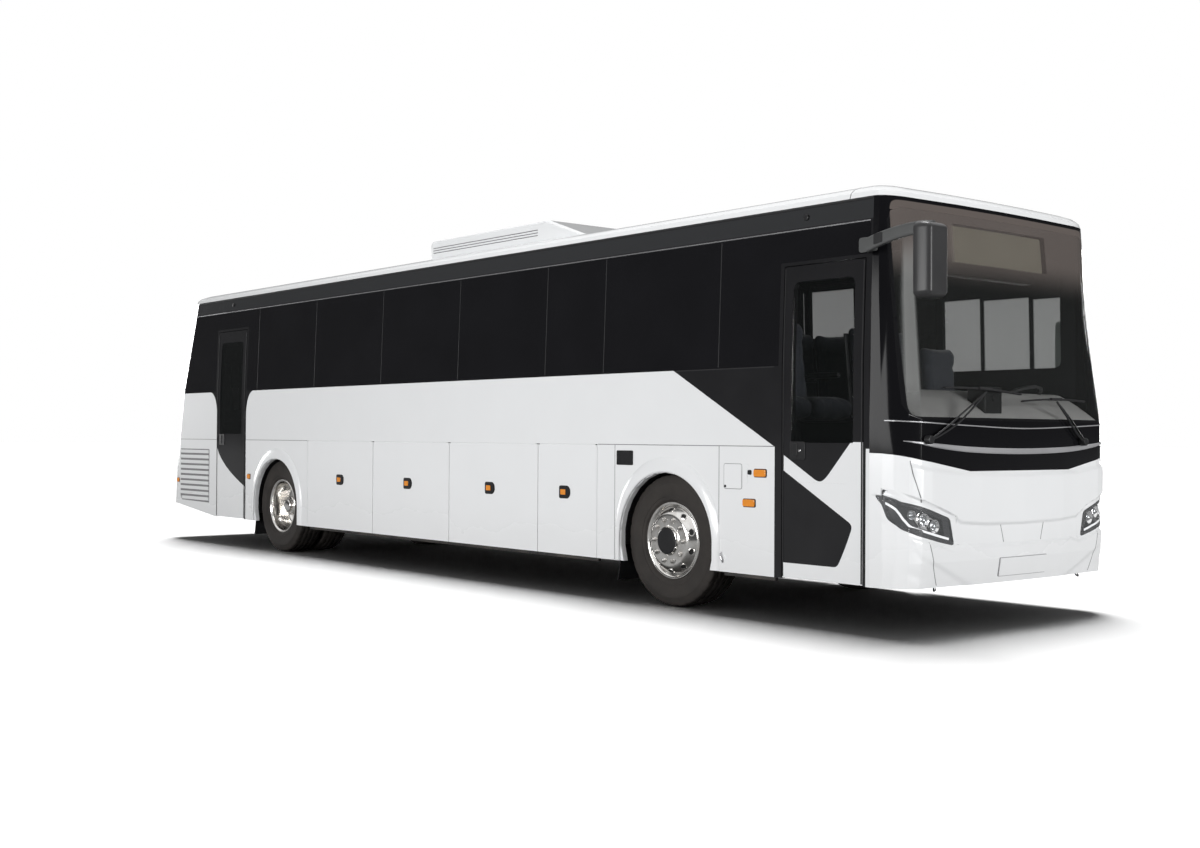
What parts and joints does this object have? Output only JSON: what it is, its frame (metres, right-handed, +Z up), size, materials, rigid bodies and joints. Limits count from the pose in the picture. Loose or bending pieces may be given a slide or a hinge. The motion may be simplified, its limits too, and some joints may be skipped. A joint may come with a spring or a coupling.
{
  "type": "coach bus",
  "caption": "Single-deck touring coach with lifting luggage flaps, swinging passenger doors on the right, steered front wheels and twin rear wheels.",
  "frame": {"origin": "on the ground under the middle of the vehicle's length and width", "axes": "+X forward, +Y the driver's (left) side, +Z up"},
  "size_m": [12.245, 2.875, 3.315],
  "materials": {
    "white_paint": "white gloss coach paint",
    "black_gloss": "black gloss paint",
    "tinted_glass": "dark tinted bonded glass",
    "windscreen_glass": "lightly tinted laminated glass",
    "tyre_rubber": "black rubber",
    "polished_alloy": "polished",
    "chassis_steel": "black chassis paint",
    "cast_iron": "painted casting",
    "dark_plastic": "grained dark grey",
    "flooring": "dark vinyl",
    "seat_fabric": "dark blue-grey cloth",
    "lamp_glass": "clear lens",
    "tail_lamp_glass": "red lens"
  },
  "bodies": {
    "body": {"right_side_wall": "white_paint", "left_side_wall": "white_paint", "front_panel": "white_paint", "rear_panel": "white_paint", "roof": "white_paint", "roof_ac_unit": "white_paint", "windscreen_surround": "black_gloss", "right_side_glass": "tinted_glass", "left_side_glass": "tinted_glass", "rear_window": "tinted_glass", "windscreen": "windscreen_glass", "headlamp_left": "lamp_glass", "headlamp_right": "lamp_glass", "tail_lamp_left": "tail_lamp_glass", "tail_lamp_right": "tail_lamp_glass", "underframe": "chassis_steel", "front_axle": "chassis_steel", "rear_axle": "chassis_steel", "engine": "cast_iron", "floor": "flooring", "front_floor": "flooring", "rear_floor": "flooring", "cab_floor": "flooring", "front_stairs": "flooring", "rear_stairs": "flooring", "passenger_seats": "seat_fabric", "driver_seat": "seat_fabric", "dashboard": "dark_plastic", "mirror_right": "dark_plastic", "mirror_left": "dark_plastic"},
    "knuckle_right": {"front_knuckle_right": "cast_iron"},
    "front_wheel_right": {"front_tyre_right": "tyre_rubber", "front_rim_right": "polished_alloy"},
    "rear_wheels_right": {"rear_outer_tyre_right": "tyre_rubber", "rear_inner_tyre_right": "tyre_rubber", "rear_rims_right": "polished_alloy"},
    "knuckle_left": {"front_knuckle_left": "cast_iron"},
    "front_wheel_left": {"front_tyre_left": "tyre_rubber", "front_rim_left": "polished_alloy"},
    "rear_wheels_left": {"rear_outer_tyre_left": "tyre_rubber", "rear_inner_tyre_left": "tyre_rubber", "rear_rims_left": "polished_alloy"},
    "luggage_flap_right_1": {"luggage_flap_right_1": "white_paint"},
    "luggage_flap_right_2": {"luggage_flap_right_2": "white_paint"},
    "luggage_flap_right_3": {"luggage_flap_right_3": "white_paint"},
    "luggage_flap_right_4": {"luggage_flap_right_4": "white_paint"},
    "luggage_flap_left_1": {"luggage_flap_left_1": "white_paint"},
    "luggage_flap_left_2": {"luggage_flap_left_2": "white_paint"},
    "luggage_flap_left_3": {"luggage_flap_left_3": "white_paint"},
    "luggage_flap_left_4": {"luggage_flap_left_4": "white_paint"},
    "engine_door": {"engine_door": "white_paint"},
    "front_door_arms": {"front_door_arms": "chassis_steel"},
    "front_door": {"front_door": "black_gloss"},
    "rear_door_arms": {"rear_door_arms": "chassis_steel"},
    "rear_door": {"rear_door": "black_gloss"}
  },
  "joints": [
    {"name": "steer_right", "type": "hinge", "parent": "body", "child": "knuckle_right", "pos_m": [3.47, -0.87, 0.522], "axis": [0, 0, 1], "range_deg": [-40, 40]},
    {"name": "front_wheel_spin_right", "type": "hinge", "parent": "knuckle_right", "child": "front_wheel_right", "pos_m": [3.47, -1.0675, 0.522], "axis": [0, 1, 0], "continuous": true},
    {"name": "rear_wheels_spin_right", "type": "hinge", "parent": "body", "child": "rear_wheels_right", "pos_m": [-3.1, -0.905, 0.522], "axis": [0, 1, 0], "continuous": true},
    {"name": "steer_left", "type": "hinge", "parent": "body", "child": "knuckle_left", "pos_m": [3.47, 0.87, 0.522], "axis": [0, 0, 1], "range_deg": [-40, 40]},
    {"name": "front_wheel_spin_left", "type": "hinge", "parent": "knuckle_left", "child": "front_wheel_left", "pos_m": [3.47, 1.0675, 0.522], "axis": [0, 1, 0], "continuous": true},
    {"name": "rear_wheels_spin_left", "type": "hinge", "parent": "body", "child": "rear_wheels_left", "pos_m": [-3.1, 0.905, 0.522], "axis": [0, 1, 0], "continuous": true},
    {"name": "front_door_swing", "type": "hinge", "parent": "body", "child": "front_door_arms", "pos_m": [5.398, -1.15, 1.5], "axis": [0, 0, 1], "range_deg": [0, 135]},
    {"name": "front_door_parallel", "type": "hinge", "parent": "front_door_arms", "child": "front_door", "pos_m": [4.978, -1.15, 1.5], "axis": [0, 0, 1], "range_deg": [-135, 0]},
    {"name": "rear_door_swing", "type": "hinge", "parent": "body", "child": "rear_door_arms", "pos_m": [-3.962, -1.15, 1.5], "axis": [0, 0, 1], "range_deg": [0, 135]},
    {"name": "rear_door_parallel", "type": "hinge", "parent": "rear_door_arms", "child": "rear_door", "pos_m": [-4.382, -1.15, 1.5], "axis": [0, 0, 1], "range_deg": [-135, 0]},
    {"name": "luggage_flap_right_1_lift", "type": "hinge", "parent": "body", "child": "luggage_flap_right_1", "pos_m": [2.225, -1.273, 1.2665], "axis": [-1, 0, 0], "range_deg": [0, 85]},
    {"name": "luggage_flap_right_2_lift", "type": "hinge", "parent": "body", "child": "luggage_flap_right_2", "pos_m": [1.125, -1.273, 1.2665], "axis": [-1, 0, 0], "range_deg": [0, 85]},
    {"name": "luggage_flap_right_3_lift", "type": "hinge", "parent": "body", "child": "luggage_flap_right_3", "pos_m": [-0.27, -1.273, 1.2665], "axis": [-1, 0, 0], "range_deg": [0, 85]},
    {"name": "luggage_flap_right_4_lift", "type": "hinge", "parent": "body", "child": "luggage_flap_right_4", "pos_m": [-1.665, -1.273, 1.2665], "axis": [-1, 0, 0], "range_deg": [0, 85]},
    {"name": "luggage_flap_left_1_lift", "type": "hinge", "parent": "body", "child": "luggage_flap_left_1", "pos_m": [2.225, 1.273, 1.2665], "axis": [1, 0, 0], "range_deg": [0, 85]},
    {"name": "luggage_flap_left_2_lift", "type": "hinge", "parent": "body", "child": "luggage_flap_left_2", "pos_m": [1.125, 1.273, 1.2665], "axis": [1, 0, 0], "range_deg": [0, 85]},
    {"name": "luggage_flap_left_3_lift", "type": "hinge", "parent": "body", "child": "luggage_flap_left_3", "pos_m": [-0.27, 1.273, 1.2665], "axis": [1, 0, 0], "range_deg": [0, 85]},
    {"name": "luggage_flap_left_4_lift", "type": "hinge", "parent": "body", "child": "luggage_flap_left_4", "pos_m": [-1.665, 1.273, 1.2665], "axis": [1, 0, 0], "range_deg": [0, 85]},
    {"name": "engine_door_lift", "type": "hinge", "parent": "body", "child": "engine_door", "pos_m": [-6.0093, 0, 1.5035], "axis": [0, 1, 0], "range_deg": [0, 80]}
  ],
  "couplings": [
    {"joint": "steer_right", "follows": "steer_left", "ratio": 1},
    {"joint": "front_door_parallel", "follows": "front_door_swing", "ratio": -1},
    {"joint": "rear_door_parallel", "follows": "rear_door_swing", "ratio": -1}
  ]
}
